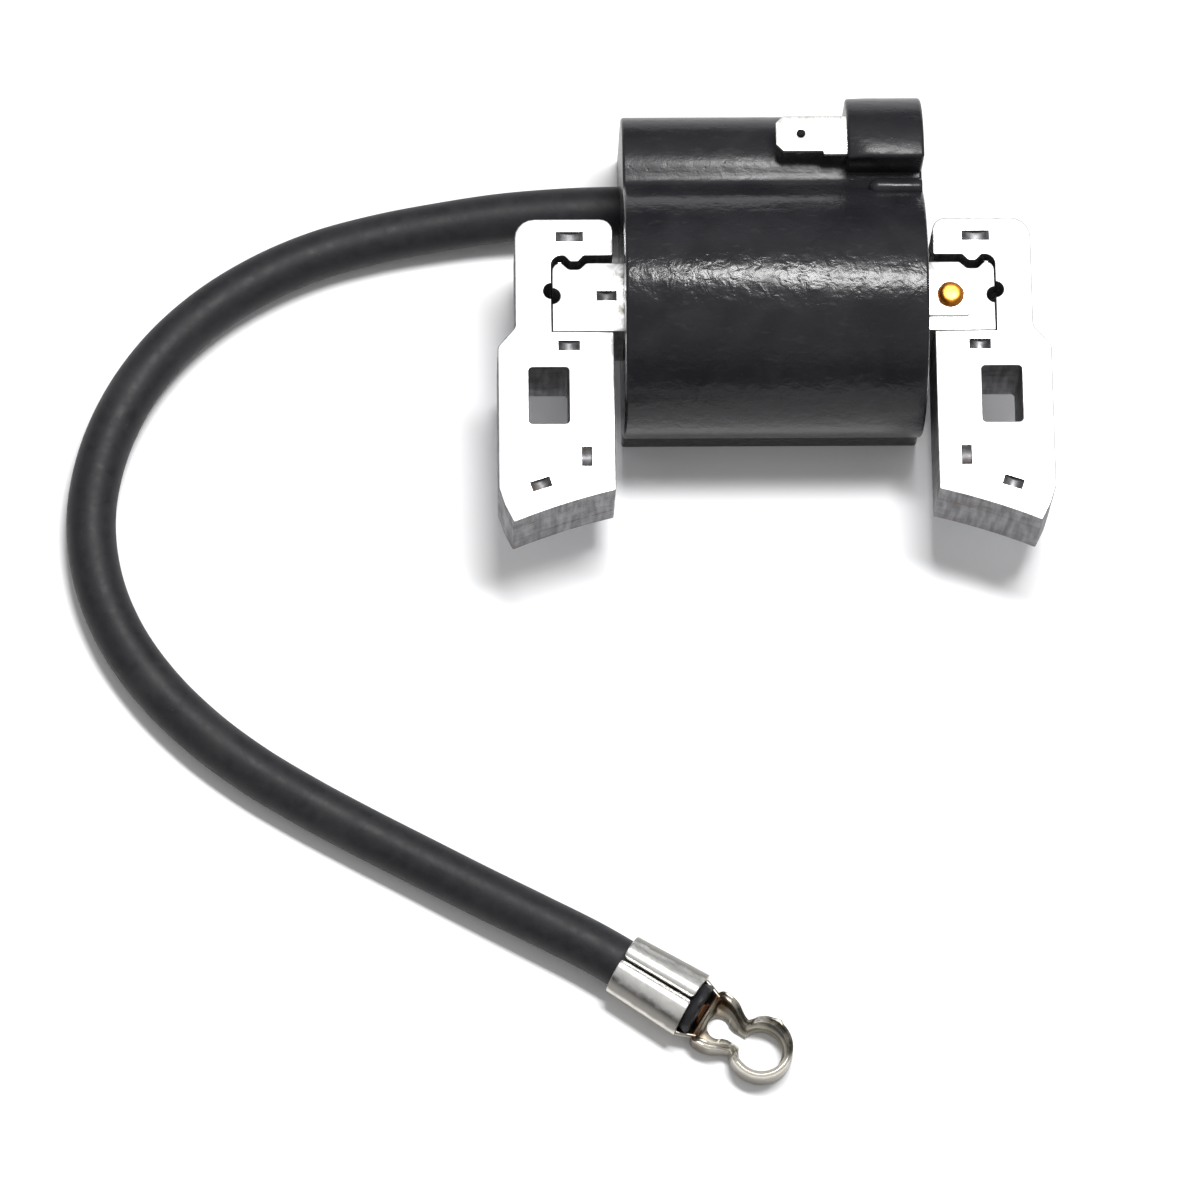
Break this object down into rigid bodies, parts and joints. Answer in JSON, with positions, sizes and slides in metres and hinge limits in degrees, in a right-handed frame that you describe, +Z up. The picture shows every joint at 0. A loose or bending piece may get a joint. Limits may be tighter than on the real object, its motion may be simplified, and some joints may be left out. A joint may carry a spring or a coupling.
{
  "type": "ignition coil",
  "caption": "Small-engine flywheel-magneto ignition coil with laminated legs, potted housing, stop spade and a high-voltage lead with a push-fit plug clip.",
  "frame": {"origin": "on the table under the middle of the coil's own box, lead and clip left out; the coil lies on the flat back of its housing", "axes": "+X along the core bar from the lead's side to the spade's side, +Y from the pole shoes to the terminal post, +Z up out of the table"},
  "size_m": [0.1381, 0.1372, 0.0328],
  "materials": {
    "lamination_steel": "bright stamped sheet, sheared edges",
    "housing_plastic": "satin moulded black with scuffs",
    "potting_resin": "cast, slightly uneven",
    "bobbin_plastic": "moulded",
    "copper_wire": "enamelled copper",
    "insulation_film": "wrapped film",
    "board_laminate": "glass-fibre laminate",
    "component_black": "moulded",
    "resistor_body": "lacquered",
    "tinned_steel": "bright tinned sheet",
    "rivet_copper": "bright copper, headed",
    "socket_brass": "turned",
    "lead_rubber": "matte extruded"
  },
  "bodies": {
    "root": {"left_leg_laminations": "lamination_steel", "right_leg_laminations": "lamination_steel", "core_laminations": "lamination_steel", "coil_housing": "housing_plastic", "potting_compound": "potting_resin", "primary_bobbin": "bobbin_plastic", "primary_winding": "copper_wire", "insulation_wrap": "insulation_film", "secondary_bobbin": "bobbin_plastic", "secondary_winding": "copper_wire", "circuit_board": "board_laminate", "power_transistor": "component_black", "control_transistor": "component_black", "resistors": "resistor_body", "primary_leads": "copper_wire", "secondary_lead": "copper_wire", "stop_terminal": "tinned_steel", "ground_strap": "tinned_steel", "ground_rivet": "rivet_copper", "high_voltage_socket": "socket_brass", "lead_conductor": "copper_wire", "ignition_lead": "lead_rubber", "plug_clip": "tinned_steel"}
  },
  "joints": []
}
